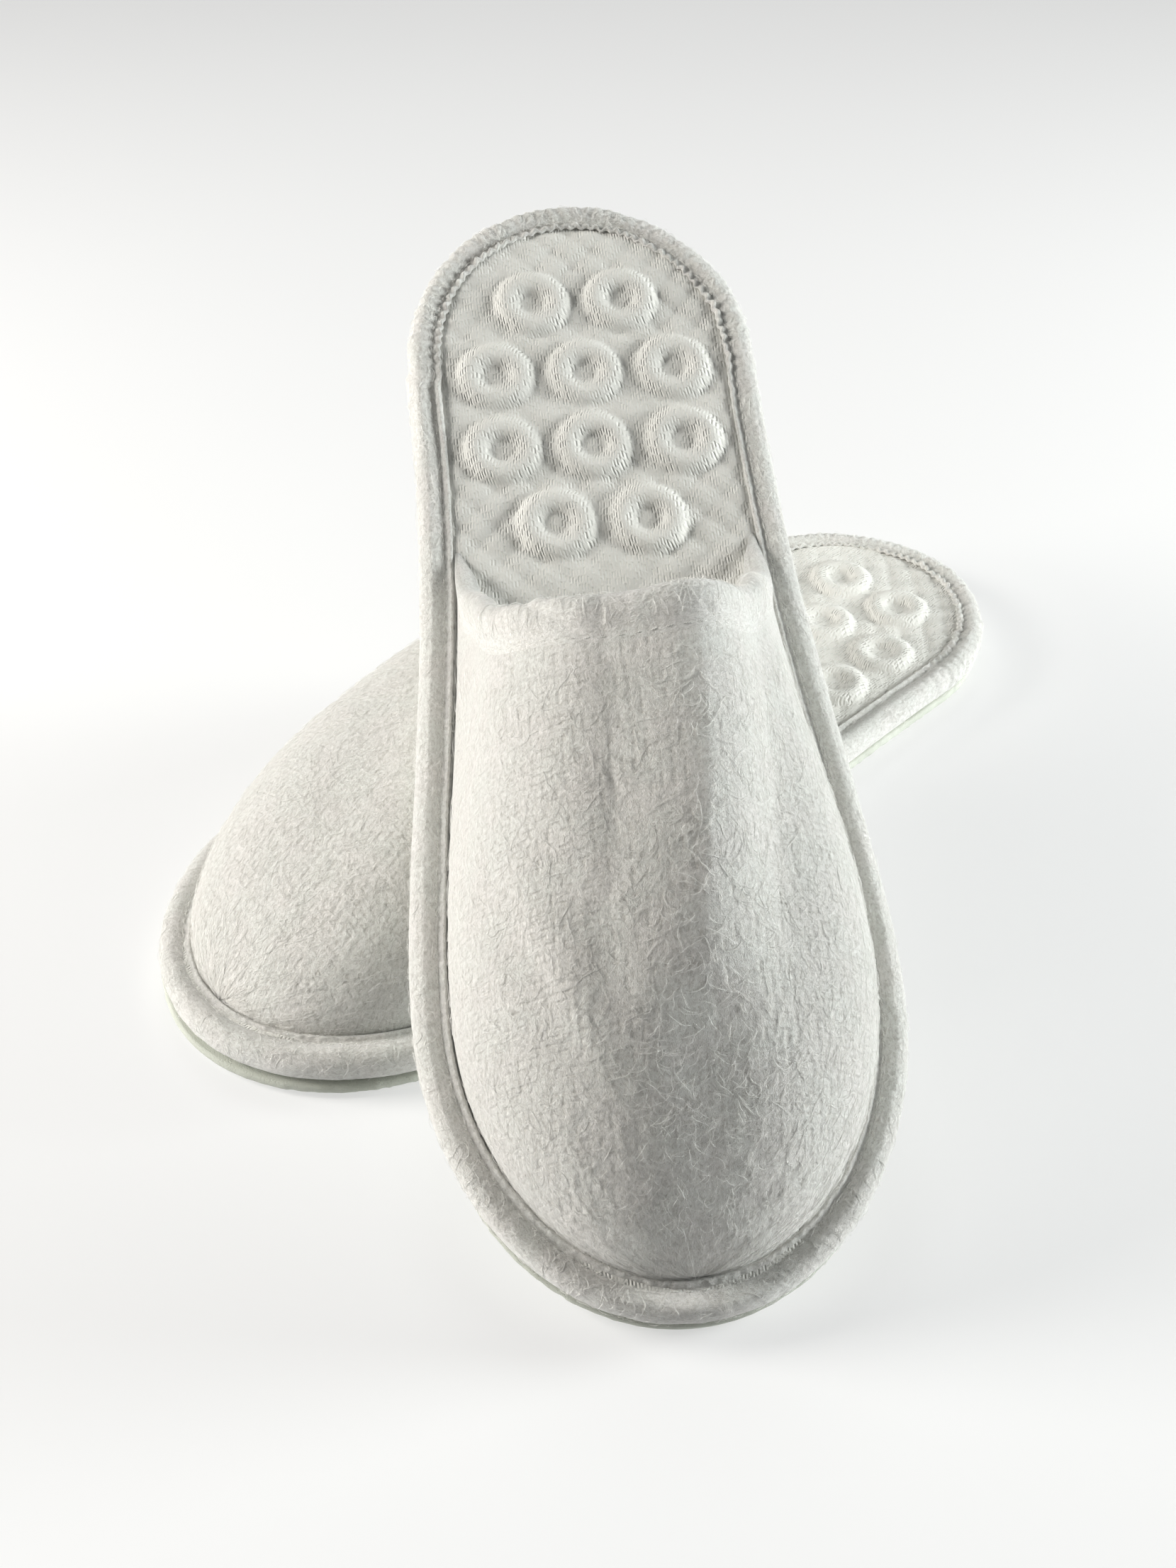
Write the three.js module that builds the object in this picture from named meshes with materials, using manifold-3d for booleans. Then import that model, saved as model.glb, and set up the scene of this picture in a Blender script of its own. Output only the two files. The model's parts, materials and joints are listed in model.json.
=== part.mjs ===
// A pair of closed-toe spa slippers: one lies flat, the other leans across its upper.
// Millimetres, +Z up. Each slipper is built flat in its own frame and then placed:
//   x across the slipper, y from the toe tip (0) to the heel end (LENGTH), z up from the outsole's underside.
import * as THREE from 'three';
import Module from 'manifold-3d';

const wasm = await Module();
wasm.setup();

// ---- driving dimensions ----
const LENGTH = 285;
const HEEL_HALF = 44.3;
const HEEL_ROUND = 47.5;
const BALL_HALF = 54.3;
const BALL_FROM_TOE = 67.4;
const WAIST = 2;
const GAP = 0.3;
const OUTSOLE_INSET = 1.5;
const OUTSOLE_TOP = 3.5;
const TAPE = 1.2;
const ROLL_WIDTH = 8;
const MIDSOLE = 2.6;
const INSOLE = 3;
const RING = { outer: 9.2, hole: 3.6, height: 3, pitch: 22.75, firstRow: 31.2, rowPitch: 21.9, perRow: [2, 3, 3, 2] };
const THREAD = 0.3;
const OPENING = { cornerFromToe: 177, crownFromToe: 134.5, bend: 0.65 };
const VAMP = { rise: 60.9, fall: 1.9, round: 0.7, arch: 2.2 };
const LAYERS = { outer: [0, 1], foam: [1.3, 2.8], lining: [3.1, 3.8] };
const HEM_RADIUS = 2.6;
const FLEX_FROM_TOE = 178;
const LEAN_DEG = 26.69;
const CROSS_DEG = -52.72;
const LOWER_TOE = { x: -107.7, y: 87.1 };
const STEPS = { heel: 7, side: 6, toe: 8, across: 18, along: 9 };

// ---- heights that follow from the stack of layers ----
const TAPE_BOTTOM = OUTSOLE_TOP + GAP;
const MIDSOLE_BOTTOM = TAPE_BOTTOM + TAPE + GAP;
const INSOLE_BOTTOM = MIDSOLE_BOTTOM + MIDSOLE + GAP;
const INSOLE_TOP = INSOLE_BOTTOM + INSOLE;
const TAPE_TOP = INSOLE_TOP + GAP + TAPE;
const VAMP_BASE = INSOLE_TOP + GAP;
const VAMP_INSET = ROLL_WIDTH + 2 * GAP;

const COLORS = {
  nap: 0xeceae4,
  insole: 0xdedcd4,
  foam: 0xf0eee6,
  board: 0xc9c4b4,
  eva: 0xc5c9bd,
  thread: 0xf4f3ee,
};

// ---- solids ----

// A manifold solid from points and triangles, turned so that its faces point out.
function makeSolid(points, triangles) {
  const vertProperties = new Float32Array(points.flat());
  const build = (tris) => new wasm.Manifold(
    new wasm.Mesh({ numProp: 3, vertProperties, triVerts: new Uint32Array(tris.flat()) }),
  );
  const solid = build(triangles);
  return solid.volume() > 0 ? solid : build(triangles.map(([a, b, c]) => [a, c, b]));
}

// Skins a list of loops that all have the same number of points.
// "ring" joins the last loop back to the first; otherwise both ends are capped.
function skinLoops(loops, ring) {
  const count = loops[0].length;
  const points = loops.flat();
  const triangles = [];
  const spans = ring ? loops.length : loops.length - 1;
  for (let k = 0; k < spans; k += 1) {
    const low = k * count;
    const high = ((k + 1) % loops.length) * count;
    for (let i = 0; i < count; i += 1) {
      const j = (i + 1) % count;
      triangles.push([low + i, low + j, high + j], [low + i, high + j, high + i]);
    }
  }
  if (!ring) {
    const last = (loops.length - 1) * count;
    for (const [a, b, c] of capTriangles(loops[0])) triangles.push([a, c, b]);
    for (const [a, b, c] of capTriangles(loops[loops.length - 1])) triangles.push([last + a, last + b, last + c]);
  }
  return makeSolid(points, triangles);
}

// Triangles that fill a flat loop, wound the same way round as the loop.
function capTriangles(loop) {
  const flat = flattenLoop(loop);
  const faces = THREE.ShapeUtils.triangulateShape(flat, []);
  const turn = THREE.ShapeUtils.area(flat) > 0;
  return faces.map(([a, b, c]) => {
    const ccw = (flat[b].x - flat[a].x) * (flat[c].y - flat[a].y) - (flat[b].y - flat[a].y) * (flat[c].x - flat[a].x) > 0;
    return ccw === turn ? [a, b, c] : [a, c, b];
  });
}

// Drops the coordinate in which the loop is thinnest.
function flattenLoop(loop) {
  const spans = [0, 1, 2].map((axis) => {
    const values = loop.map((p) => p[axis]);
    return Math.max(...values) - Math.min(...values);
  });
  const thin = spans.indexOf(Math.min(...spans));
  const [a, b] = [0, 1, 2].filter((axis) => axis !== thin);
  return loop.map((p) => new THREE.Vector2(p[a], p[b]));
}

// ---- the sole outline ----

// Half the sole's width at a distance y from the toe tip, drawn in by an even inset.
function halfWidth(y, inset = 0) {
  const fromHeel = LENGTH - y;
  if (y < BALL_FROM_TOE) {
    const t = (BALL_FROM_TOE - y) / (BALL_FROM_TOE - inset);
    return (BALL_HALF - inset) * Math.sqrt(Math.max(0, 1 - t * t));
  }
  if (fromHeel < HEEL_ROUND) {
    const t = (HEEL_ROUND - fromHeel) / (HEEL_ROUND - inset);
    return (HEEL_HALF - inset) * Math.sqrt(Math.max(0, 1 - t * t));
  }
  const t = (y - BALL_FROM_TOE) / (LENGTH - HEEL_ROUND - BALL_FROM_TOE);
  const ease = t * t * (3 - 2 * t);
  return BALL_HALF + (HEEL_HALF - BALL_HALF) * ease - WAIST * Math.sin(Math.PI * t) ** 2 - inset;
}

// The outline as a closed loop of [x, y], counter-clockwise seen from above.
function outline(inset) {
  const ys = [];
  for (let i = 0; i < STEPS.toe; i += 1) {
    ys.push(BALL_FROM_TOE - (BALL_FROM_TOE - inset) * Math.cos((Math.PI / 2) * (i / STEPS.toe)));
  }
  const sideLength = LENGTH - HEEL_ROUND - BALL_FROM_TOE;
  for (let i = 0; i < STEPS.side; i += 1) {
    ys.push(BALL_FROM_TOE + sideLength * (i / STEPS.side));
  }
  for (let i = 0; i <= STEPS.heel; i += 1) {
    ys.push(LENGTH - HEEL_ROUND + (HEEL_ROUND - inset) * Math.sin((Math.PI / 2) * (i / STEPS.heel)));
  }
  const right = ys.map((y) => [halfWidth(y, inset), y]);
  const left = right.slice(1, -1).reverse().map(([x, y]) => [-x, y]);
  return [...right, ...left];
}

function outlineLoop(inset, z) {
  return outline(inset).map(([x, y]) => [x, y, z]);
}

// A slab or ring whose section is a list of [inset, z] corners.
function sweepSection(section, ring) {
  return skinLoops(section.map(([inset, z]) => outlineLoop(inset, z)), ring);
}

// ---- sole pieces, made whole and cut across at the flex line ----

function outsole() {
  return sweepSection([[OUTSOLE_INSET, 0], [OUTSOLE_INSET, OUTSOLE_TOP]], false);
}

// A board that drops between the tape's lower flanges.
function midsole() {
  const inner = ROLL_WIDTH + GAP;
  const outer = TAPE + 2 * GAP;
  return sweepSection([
    [inner, TAPE_BOTTOM],
    [inner, MIDSOLE_BOTTOM],
    [outer, MIDSOLE_BOTTOM],
    [outer, MIDSOLE_BOTTOM + MIDSOLE],
  ], false);
}

function ringCentres() {
  const centres = [];
  RING.perRow.forEach((perRow, row) => {
    const y = LENGTH - RING.firstRow - RING.rowPitch * row;
    for (let i = 0; i < perRow; i += 1) {
      centres.push([RING.pitch * (i - (perRow - 1) / 2), y]);
    }
  });
  return centres;
}

// One raised massage ring: a domed annulus that reaches a little into the insole.
function massageRing([x, y]) {
  const { outer, hole, height } = RING;
  const sink = 0.6;
  const middle = (outer + hole) / 2;
  const profile = [
    [hole, -sink],
    [outer, -sink],
    [outer, 0.1],
    [outer - 1.4, height * 0.75],
    [middle, height],
    [hole + 0.9, height * 0.7],
    [hole, 0.1],
  ].map(([r, z]) => new THREE.Vector2(r, z));
  const around = 12;
  const loops = [];
  for (let i = 0; i < around; i += 1) {
    const angle = (2 * Math.PI * i) / around;
    loops.push(profile.map((p) => [
      x + p.x * Math.cos(angle),
      y + p.x * Math.sin(angle),
      INSOLE_TOP + p.y,
    ]));
  }
  return skinLoops(loops, true);
}

function insole() {
  const inset = TAPE + 2 * GAP;
  const slab = sweepSection([[inset, INSOLE_BOTTOM], [inset, INSOLE_TOP]], false);
  return ringCentres().reduce((solid, centre) => solid.add(massageRing(centre)), slab);
}

// Fabric tape folded round the edge of the midsole and insole, with a stitch groove in its upper flange.
function edgeBinding() {
  const inner = TAPE + GAP;
  const groove = 5.6;
  return sweepSection([
    [ROLL_WIDTH, TAPE_BOTTOM],
    [2.2, TAPE_BOTTOM],
    [0.7, TAPE_BOTTOM + 1.6],
    [0, (TAPE_BOTTOM + TAPE_TOP) / 2],
    [0.7, TAPE_TOP - 1.6],
    [2.2, TAPE_TOP],
    [groove - 0.6, TAPE_TOP],
    [groove, TAPE_TOP - 0.6],
    [groove + 0.6, TAPE_TOP],
    [ROLL_WIDTH, TAPE_TOP],
    [ROLL_WIDTH, TAPE_TOP - TAPE],
    [inner, TAPE_TOP - TAPE],
    [inner, TAPE_BOTTOM + TAPE],
    [ROLL_WIDTH, TAPE_BOTTOM + TAPE],
  ], true);
}

// The stitching in the binding's groove, as one even bead.
function seamThread() {
  const centre = 5.6;
  const low = TAPE_TOP - 0.2;
  return sweepSection([
    [centre - THREAD, low + THREAD],
    [centre, low + 2 * THREAD],
    [centre + THREAD, low + THREAD],
    [centre, low],
  ], true);
}

// The part of a sole piece on the toe side or on the heel side of the flex line.
function frontOf(solid) {
  return solid.trimByPlane([0, -1, 0], -(FLEX_FROM_TOE - GAP / 2));
}

function heelOf(solid) {
  return solid.trimByPlane([0, 1, 0], FLEX_FROM_TOE + GAP / 2);
}

// ---- the upper (vamp) ----

// A point on the vamp: angle runs -90..90 degrees from the left seam over the crown to the right seam,
// along runs from the opening (0) to the toe (1), depth is how far inside the outer face it lies.
function vampPoint(angle, along, depth, setback = 0) {
  const across = Math.sign(angle) * Math.abs(Math.sin(angle)) ** (2 / VAMP.arch);
  const lift = Math.abs(Math.cos(angle)) < 1e-6 ? 0 : Math.abs(Math.cos(angle)) ** (2 / VAMP.arch);
  const edge = openingEdge(lift) - setback;
  const tip = VAMP_INSET + depth;
  const y = edge + (tip - edge) * along;
  const reach = Math.max(0, (OPENING.crownFromToe - y) / (OPENING.crownFromToe - tip));
  const ridge = (VAMP.rise - depth) * (1 - Math.min(1, reach) ** VAMP.fall) ** VAMP.round;
  return [halfWidth(y, tip) * across, y, VAMP_BASE + ridge * lift];
}

// How far from the toe the opening's edge lies, from its low corners to its crown.
function openingEdge(lift) {
  return OPENING.cornerFromToe + (OPENING.crownFromToe - OPENING.cornerFromToe) * lift ** OPENING.bend;
}

// One layer of the upper between two depths.
function vampLayer([shallow, deep], setback) {
  const { across, along } = STEPS;
  const points = [];
  const triangles = [];
  const skins = [shallow, deep].map((depth) => {
    const rows = [];
    for (let k = 0; k < along; k += 1) {
      const share = Math.sin((Math.PI / 2) * (k / along));
      const row = [];
      for (let i = 0; i <= across; i += 1) {
        row.push(points.length);
        points.push(vampPoint(Math.PI * (i / across - 0.5), share, depth, setback));
      }
      rows.push(row);
    }
    points.push(vampPoint(0, 1, depth, setback));
    rows.push(new Array(across + 1).fill(points.length - 1));
    return rows;
  });
  const quad = (a, b, c, d) => {
    if (a !== b && b !== c && a !== c) triangles.push([a, b, c]);
    if (a !== c && c !== d && a !== d) triangles.push([a, c, d]);
  };
  for (let k = 0; k < along; k += 1) {
    for (let i = 0; i < across; i += 1) {
      quad(skins[0][k][i], skins[0][k][i + 1], skins[0][k + 1][i + 1], skins[0][k + 1][i]);
      quad(skins[1][k][i], skins[1][k + 1][i], skins[1][k + 1][i + 1], skins[1][k][i + 1]);
    }
    quad(skins[0][k][0], skins[0][k + 1][0], skins[1][k + 1][0], skins[1][k][0]);
    quad(skins[0][k][across], skins[1][k][across], skins[1][k + 1][across], skins[0][k + 1][across]);
  }
  for (let i = 0; i < across; i += 1) {
    quad(skins[0][0][i], skins[1][0][i], skins[1][0][i + 1], skins[0][0][i + 1]);
  }
  return makeSolid(points, triangles);
}

// A bar that follows the opening's edge, with a round section of the given radius.
// sweep is the share of the half turn from seam to seam that it covers.
function openingBar(radius, setback, depth, sides, sweep) {
  const stations = 20;
  const loops = [];
  for (let i = 0; i <= stations; i += 1) {
    const angle = Math.PI * sweep * (i / stations - 0.5);
    const loop = [];
    for (let j = 0; j < sides; j += 1) {
      const turn = (2 * Math.PI * (j + 0.5)) / sides;
      loop.push(vampPoint(angle, 0, depth + radius * Math.sin(turn), setback + radius * Math.cos(turn)));
    }
    loops.push(loop);
  }
  return skinLoops(loops, false);
}

// ---- assembly ----

function slipperPieces() {
  const edge = 2 * HEM_RADIUS + 3 * GAP;
  const whole = { outsole: outsole(), midsole: midsole(), insole: insole(), edge_binding: edgeBinding(), seam_thread: seamThread() };
  const slots = { outsole: 'eva', midsole: 'board', insole: 'insole', edge_binding: 'nap', seam_thread: 'thread' };
  const pieces = [];
  for (const [name, solid] of Object.entries(whole)) {
    pieces.push([`${name}_front`, frontOf(solid), slots[name]]);
    pieces.push([`${name}_heel`, heelOf(solid), slots[name]]);
  }
  pieces.push(['vamp_outer', vampLayer(LAYERS.outer, edge), 'nap']);
  pieces.push(['vamp_foam', vampLayer(LAYERS.foam, edge), 'foam']);
  pieces.push(['vamp_lining', vampLayer(LAYERS.lining, edge), 'insole']);
  pieces.push(['opening_binding', openingBar(HEM_RADIUS, HEM_RADIUS, HEM_RADIUS + GAP, 8, 1), 'nap']);
  pieces.push(['opening_thread', openingBar(THREAD, edge + 3, -2 * THREAD, 4, 0.97), 'thread']);
  return pieces;
}

function makeMesh(name, solid, slot, placement) {
  const { vertProperties, triVerts, numProp } = solid.getMesh();
  const position = new Float32Array((vertProperties.length / numProp) * 3);
  for (let i = 0; i < position.length / 3; i += 1) {
    for (let axis = 0; axis < 3; axis += 1) position[3 * i + axis] = vertProperties[numProp * i + axis];
  }
  const geometry = new THREE.BufferGeometry();
  geometry.setAttribute('position', new THREE.BufferAttribute(position, 3));
  geometry.setIndex(Array.from(triVerts));
  geometry.applyMatrix4(placement);
  geometry.computeVertexNormals();
  const material = new THREE.MeshStandardMaterial({ color: COLORS[slot], roughness: 0.95, metalness: 0 });
  const mesh = new THREE.Mesh(geometry, material);
  mesh.name = name;
  return mesh;
}

// The leaning slipper touches the floor along its outsole's toe edge.
function leaningPlacement() {
  const lean = THREE.MathUtils.degToRad(LEAN_DEG);
  const drop = OUTSOLE_INSET * Math.sin(lean);
  return new THREE.Matrix4().makeTranslation(0, 0, -drop).multiply(new THREE.Matrix4().makeRotationX(lean));
}

function flatPlacement() {
  const turn = THREE.MathUtils.degToRad(CROSS_DEG);
  return new THREE.Matrix4().makeTranslation(LOWER_TOE.x, LOWER_TOE.y, 0).multiply(new THREE.Matrix4().makeRotationZ(turn));
}

// Moves everything so that the pair's bounding box is centred in x and y.
function centreOnFloor(group) {
  const box = new THREE.Box3().setFromObject(group);
  const shift = new THREE.Matrix4().makeTranslation(-(box.min.x + box.max.x) / 2, -(box.min.y + box.max.y) / 2, 0);
  group.children.forEach((mesh) => mesh.geometry.applyMatrix4(shift));
}

function buildPair() {
  const group = new THREE.Group();
  group.name = 'spa_slippers';
  const placements = { lower: flatPlacement(), upper: leaningPlacement() };
  for (const [side, placement] of Object.entries(placements)) {
    for (const [name, solid, slot] of slipperPieces()) {
      group.add(makeMesh(`${side}_${name}`, solid, slot, placement));
    }
  }
  centreOnFloor(group);
  return group;
}

export default buildPair();
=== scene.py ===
"""A pair of off-white spa slippers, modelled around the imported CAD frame.

Shapes are worked out flat, in millimetres, in each slipper's own frame:
x across, y from the toe tip to the heel end, z up from the outsole's underside.
"""

import json
import math

import bmesh
import bpy
import numpy as np
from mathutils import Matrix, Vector


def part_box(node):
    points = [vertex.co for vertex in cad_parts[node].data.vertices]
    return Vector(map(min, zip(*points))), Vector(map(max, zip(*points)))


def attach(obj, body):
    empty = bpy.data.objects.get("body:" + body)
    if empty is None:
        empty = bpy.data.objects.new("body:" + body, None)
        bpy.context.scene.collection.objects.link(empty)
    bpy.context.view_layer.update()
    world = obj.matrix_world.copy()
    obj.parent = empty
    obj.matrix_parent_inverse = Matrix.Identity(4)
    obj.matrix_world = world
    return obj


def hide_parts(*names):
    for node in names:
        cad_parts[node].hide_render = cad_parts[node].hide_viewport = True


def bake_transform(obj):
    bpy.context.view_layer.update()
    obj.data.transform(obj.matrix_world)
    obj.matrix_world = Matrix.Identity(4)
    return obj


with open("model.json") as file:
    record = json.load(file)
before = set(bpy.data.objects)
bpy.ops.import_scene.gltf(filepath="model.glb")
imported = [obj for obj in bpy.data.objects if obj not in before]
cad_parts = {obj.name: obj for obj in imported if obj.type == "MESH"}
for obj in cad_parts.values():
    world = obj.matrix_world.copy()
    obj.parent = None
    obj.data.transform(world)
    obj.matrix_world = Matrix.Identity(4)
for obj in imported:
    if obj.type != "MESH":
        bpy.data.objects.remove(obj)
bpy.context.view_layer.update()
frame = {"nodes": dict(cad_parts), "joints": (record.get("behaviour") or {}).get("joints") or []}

# ---- driving dimensions of one slipper, in millimetres ----
MM = 0.001

# the sole's outline and its flex line
LENGTH = 285.0
HEEL_HALF = 44.3
HEEL_ROUND = 47.5
BALL_HALF = 54.3
BALL_FROM_TOE = 67.4
WAIST = 2.0
FLEX_FROM_TOE = 178.0
FLEX_HEIGHT = 13.2
BEND_LENGTH = 46.0
OUTSOLE_INSET = 1.5

# the edge tape: its cloth's thickness, its fold's width, its lap and its seam
TAPE = 1.2
ROLL_WIDTH = 8.0
LAP_FROM_HEEL = 50.0
STITCH_PITCH = 3.2
SEAM_INSET = 5.9
SEAM_HEIGHT = 7.95

# the insole: massage rings, with their rise as a share of the CAD's, and quilting
INSOLE_INSET = TAPE + 0.6
RING_OUTER = 10.4
RING_HOLE = 2.7
RING_PITCH = 22.75
RING_FIRST_ROW = 31.2
RING_ROW_PITCH = 21.9
RINGS_PER_ROW = (2, 3, 3, 2)
RING_RISE = 0.54
RING_FLOOR = 0.12
QUILT_PITCH = 7.2
QUILT_DEPTH = 0.5
QUILT_LINE = 1.5

# the vamp and its opening
CORNER_FROM_TOE = 177.0
CROWN_FROM_TOE = 134.5
OPENING_BEND = 0.65
CORNER_POINT = 5.0
SIDE_PINCH = 3.0
VAMP_FALL = 1.9
VAMP_ROUND = 0.7
VAMP_ARCH = 2.2
VAMP_INSET = ROLL_WIDTH + 0.5
HEM_BAND = 10.0

# the vamp's layers, as depths below its outer face
OUTER_LAYER = (0.0, 1.1)
WADDING_LAYER = (1.3, 2.9)
LINING_LAYER = (3.1, 3.8)

# loose fibres: how many on each cloth, the joints of one, and its least and greatest radius
VAMP_FIBRES = 4600
TAPE_FIBRES = 3000
HEM_FIBRES = 1100
FIBRE_JOINTS = 7
FIBRE_RADIUS = (0.028, 0.05)

# ---- how finely each piece is meshed ----

# steps along the outline: round the toe, along the side, round the heel
FINE = (110, 230, 120)
MEDIUM = (50, 90, 50)
INSOLE_STEPS = (40, 215, 95)
BINDING_STEPS = (170, 250, 170)

# points across the sole
OUTSOLE_COLUMNS = 25
MIDSOLE_COLUMNS = 15
INSOLE_COLUMNS = 112
UNDER_COLUMNS = 9

# points across the vamp and along it
OUTER_GRID = (230, 190)
WADDING_GRID = (90, 70)
LINING_GRID = (120, 90)
HEM_GRID = (260, 190)

# ---- seeds of what differs between the two slippers ----
SEEDS = {
    "tape": {"upper": 41, "lower": 47},
    "hem": {"upper": 81, "lower": 87},
    "vamp_fibres": {"upper": 91, "lower": 93},
    "tape_fibres": {"upper": 95, "lower": 97},
    "hem_fibres": {"upper": 99, "lower": 101},
}


def level(node, end):
    """A height in the flat slipper's stack of layers, from the CAD."""
    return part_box("lower_" + node)[end].z / MM


OUTSOLE_TOP = level("outsole_front", 1)
MIDSOLE_TOP = level("midsole_front", 1)
INSOLE_BOTTOM = level("insole_front", 0)
INSOLE_TOP = level("insole_front", 1)
RING_TOP = level("insole_heel", 1)
TAPE_BOTTOM = level("edge_binding_front", 0)
VAMP_BASE = level("vamp_outer", 0)
VAMP_CROWN = level("vamp_outer", 1)


# ---- seeded noise ----


def value_noise(u, v, seed):
    """Smooth noise from -1 to 1 over a unit lattice."""
    size = 256
    table = np.random.default_rng(seed).uniform(-1, 1, (size, size))
    iu, iv = np.floor(u).astype(int), np.floor(v).astype(int)
    fu, fv = u - iu, v - iv
    fu, fv = fu * fu * (3 - 2 * fu), fv * fv * (3 - 2 * fv)
    a, b = table[iu % size, iv % size], table[(iu + 1) % size, iv % size]
    c, d = table[iu % size, (iv + 1) % size], table[(iu + 1) % size, (iv + 1) % size]
    return (a * (1 - fu) + b * fu) * (1 - fv) + (c * (1 - fu) + d * fu) * fv


def fractal_noise(u, v, seed, octaves=3):
    """Smooth noise with finer and fainter noise laid over it."""
    total = sum(value_noise(u * 2**k, v * 2**k, seed + k) / 2**k for k in range(octaves))
    return total / (2 - 2 ** (1 - octaves))


def step(low, high, x):
    """0 at low, 1 at high, smooth between them; low may be the greater."""
    t = np.clip((x - low) / (high - low), 0, 1)
    return t * t * (3 - 2 * t)


def bump(x, centre, width):
    """1 at the centre, fading smoothly to 0 on both sides."""
    return np.exp(-(((x - centre) / width) ** 2))


def travelled(strides):
    """The distance gone at each point of a line, from the lengths between its points."""
    return np.concatenate([[0], np.cumsum(strides)])


def unit(vectors):
    """The same directions at length 1; a vector of no length stays so."""
    return vectors / np.maximum(np.linalg.norm(vectors, axis=-1, keepdims=True), 1e-9)


# ---- the two slippers' frames ----


class Slipper:
    """Where one slipper lies: its hinge from the record, its sole's plane from the outsole."""

    def __init__(self, side):
        self.side = side
        self.front, self.heel = side + "_front", side + "_heel"
        joint = next(j for j in frame["joints"] if j["name"] == side + "_sole_flex")
        self.across = np.array(joint["axis"], float)
        self.across /= np.linalg.norm(self.across)
        node = frame["nodes"][side + "_outsole_heel"]
        points = np.array([v.co for v in node.data.vertices])
        self.up = np.linalg.svd(points - points.mean(0), full_matrices=False)[2][2]
        self.up *= np.sign(self.up[2])
        self.along = np.cross(self.up, self.across)
        hinge = np.array(joint["pos_m"], float)
        self.origin = hinge - MM * (FLEX_FROM_TOE * self.along + FLEX_HEIGHT * self.up)
        self.basis = np.array([self.across, self.along, self.up])

    def place(self, points):
        """Local millimetres to metres in the row frame."""
        return self.origin + (np.asarray(points) * MM) @ self.basis

    def local(self, points):
        """Metres in the row frame to local millimetres."""
        return (np.asarray(points) - self.origin) @ self.basis.T / MM


# ---- meshes ----


def loft_faces(rows, columns, wrap_rows, wrap_columns):
    """Corner indices (row, column) of each quad, left unwrapped so that UVs can run on."""
    r = np.arange(rows if wrap_rows else rows - 1)
    c = np.arange(columns if wrap_columns else columns - 1)
    r, c = np.meshgrid(r, c, indexing="ij")
    r, c = r.ravel(), c.ravel()
    return np.stack([r, r, r + 1, r + 1], 1), np.stack([c, c + 1, c + 1, c], 1)


def loft(points, wrap_rows=False, wrap_columns=True, caps="", u=None, v=None):
    """Quads over a grid of points, with caps at the first and last row.

    caps "flat" fills each end with one face, "fold" joins each end's two halves.
    u and v are cloth coordinates in millimetres, one column and one row longer where the grid wraps.
    """
    rows, columns = points.shape[:2]
    face_rows, face_columns = loft_faces(rows, columns, wrap_rows, wrap_columns)
    faces = (face_rows % rows) * columns + face_columns % columns
    uv = np.stack([u[face_rows, face_columns], v[face_rows, face_columns]], -1)
    faces, corners = list(map(tuple, faces)), [c for quad in uv for c in quad]
    flat = points.reshape(-1, 3)
    for row in (0, rows - 1) if caps else ():
        base = row * columns
        if caps == "flat":
            cap = [list(range(base, base + columns))]
        else:
            half = columns // 2
            last = base + columns - 1
            cap = [[base + j, base + j + 1, last - 1 - j, last - j] for j in range(half - 1)]
        for face in cap:
            face = face[::-1] if row == 0 else face
            faces.append(tuple(face))
            corners += [(u[row, i - base], v[row, i - base]) for i in face]
    return flat, faces, corners


def make_piece(name, slipper, geometry, material):
    """A smooth-shaded mesh object in the row frame, from local points, faces and cloth coordinates."""
    points, faces, corners = geometry
    name = f"{slipper.side}_{name}"
    mesh = bpy.data.meshes.new(name)
    mesh.from_pydata(slipper.place(points).tolist(), [], faces)
    layer = mesh.uv_layers.new(name="cloth")
    layer.data.foreach_set("uv", np.asarray(corners, np.float32).ravel())
    work = bmesh.new()
    work.from_mesh(mesh)
    bmesh.ops.remove_doubles(work, verts=work.verts, dist=1e-6)
    bmesh.ops.recalc_face_normals(work, faces=work.faces)
    work.to_mesh(mesh)
    work.free()
    mesh.polygons.foreach_set("use_smooth", [True] * len(mesh.polygons))
    obj = bpy.data.objects.new(name, mesh)
    bpy.context.scene.collection.objects.link(obj)
    mesh.materials.append(MATERIALS[material])
    return obj


def bend_with_sole(obj, slipper):
    """The piece crosses the flex line; its placement is baked into its mesh."""
    start = slipper.place([0, FLEX_FROM_TOE, FLEX_HEIGHT])
    end = slipper.place([0, FLEX_FROM_TOE + BEND_LENGTH, FLEX_HEIGHT])
    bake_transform(obj)


def replace_halves(obj, slipper, node):
    """The piece stands for a sole piece that the CAD cuts in two at the flex line."""
    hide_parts(f"{slipper.side}_{node}_front", f"{slipper.side}_{node}_heel")
    bend_with_sole(obj, slipper)


# ---- the sole outline ----


def half_width(y, inset=0.0):
    """Half the sole's width at a distance y from the toe tip, drawn in by an even inset."""
    y = np.asarray(y, float)
    inset = np.broadcast_to(inset, y.shape)
    toe_t = (BALL_FROM_TOE - y) / (BALL_FROM_TOE - inset)
    toe = (BALL_HALF - inset) * np.sqrt(np.clip(1 - toe_t**2, 0, 1))
    heel_t = (HEEL_ROUND - (LENGTH - y)) / (HEEL_ROUND - inset)
    heel = (HEEL_HALF - inset) * np.sqrt(np.clip(1 - heel_t**2, 0, 1))
    t = np.clip((y - BALL_FROM_TOE) / (LENGTH - HEEL_ROUND - BALL_FROM_TOE), 0, 1)
    side = BALL_HALF + (HEEL_HALF - BALL_HALF) * t * t * (3 - 2 * t)
    side = side - WAIST * np.sin(np.pi * t) ** 2 - inset
    return np.where(y < BALL_FROM_TOE, toe, np.where(LENGTH - y < HEEL_ROUND, heel, side))


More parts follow.
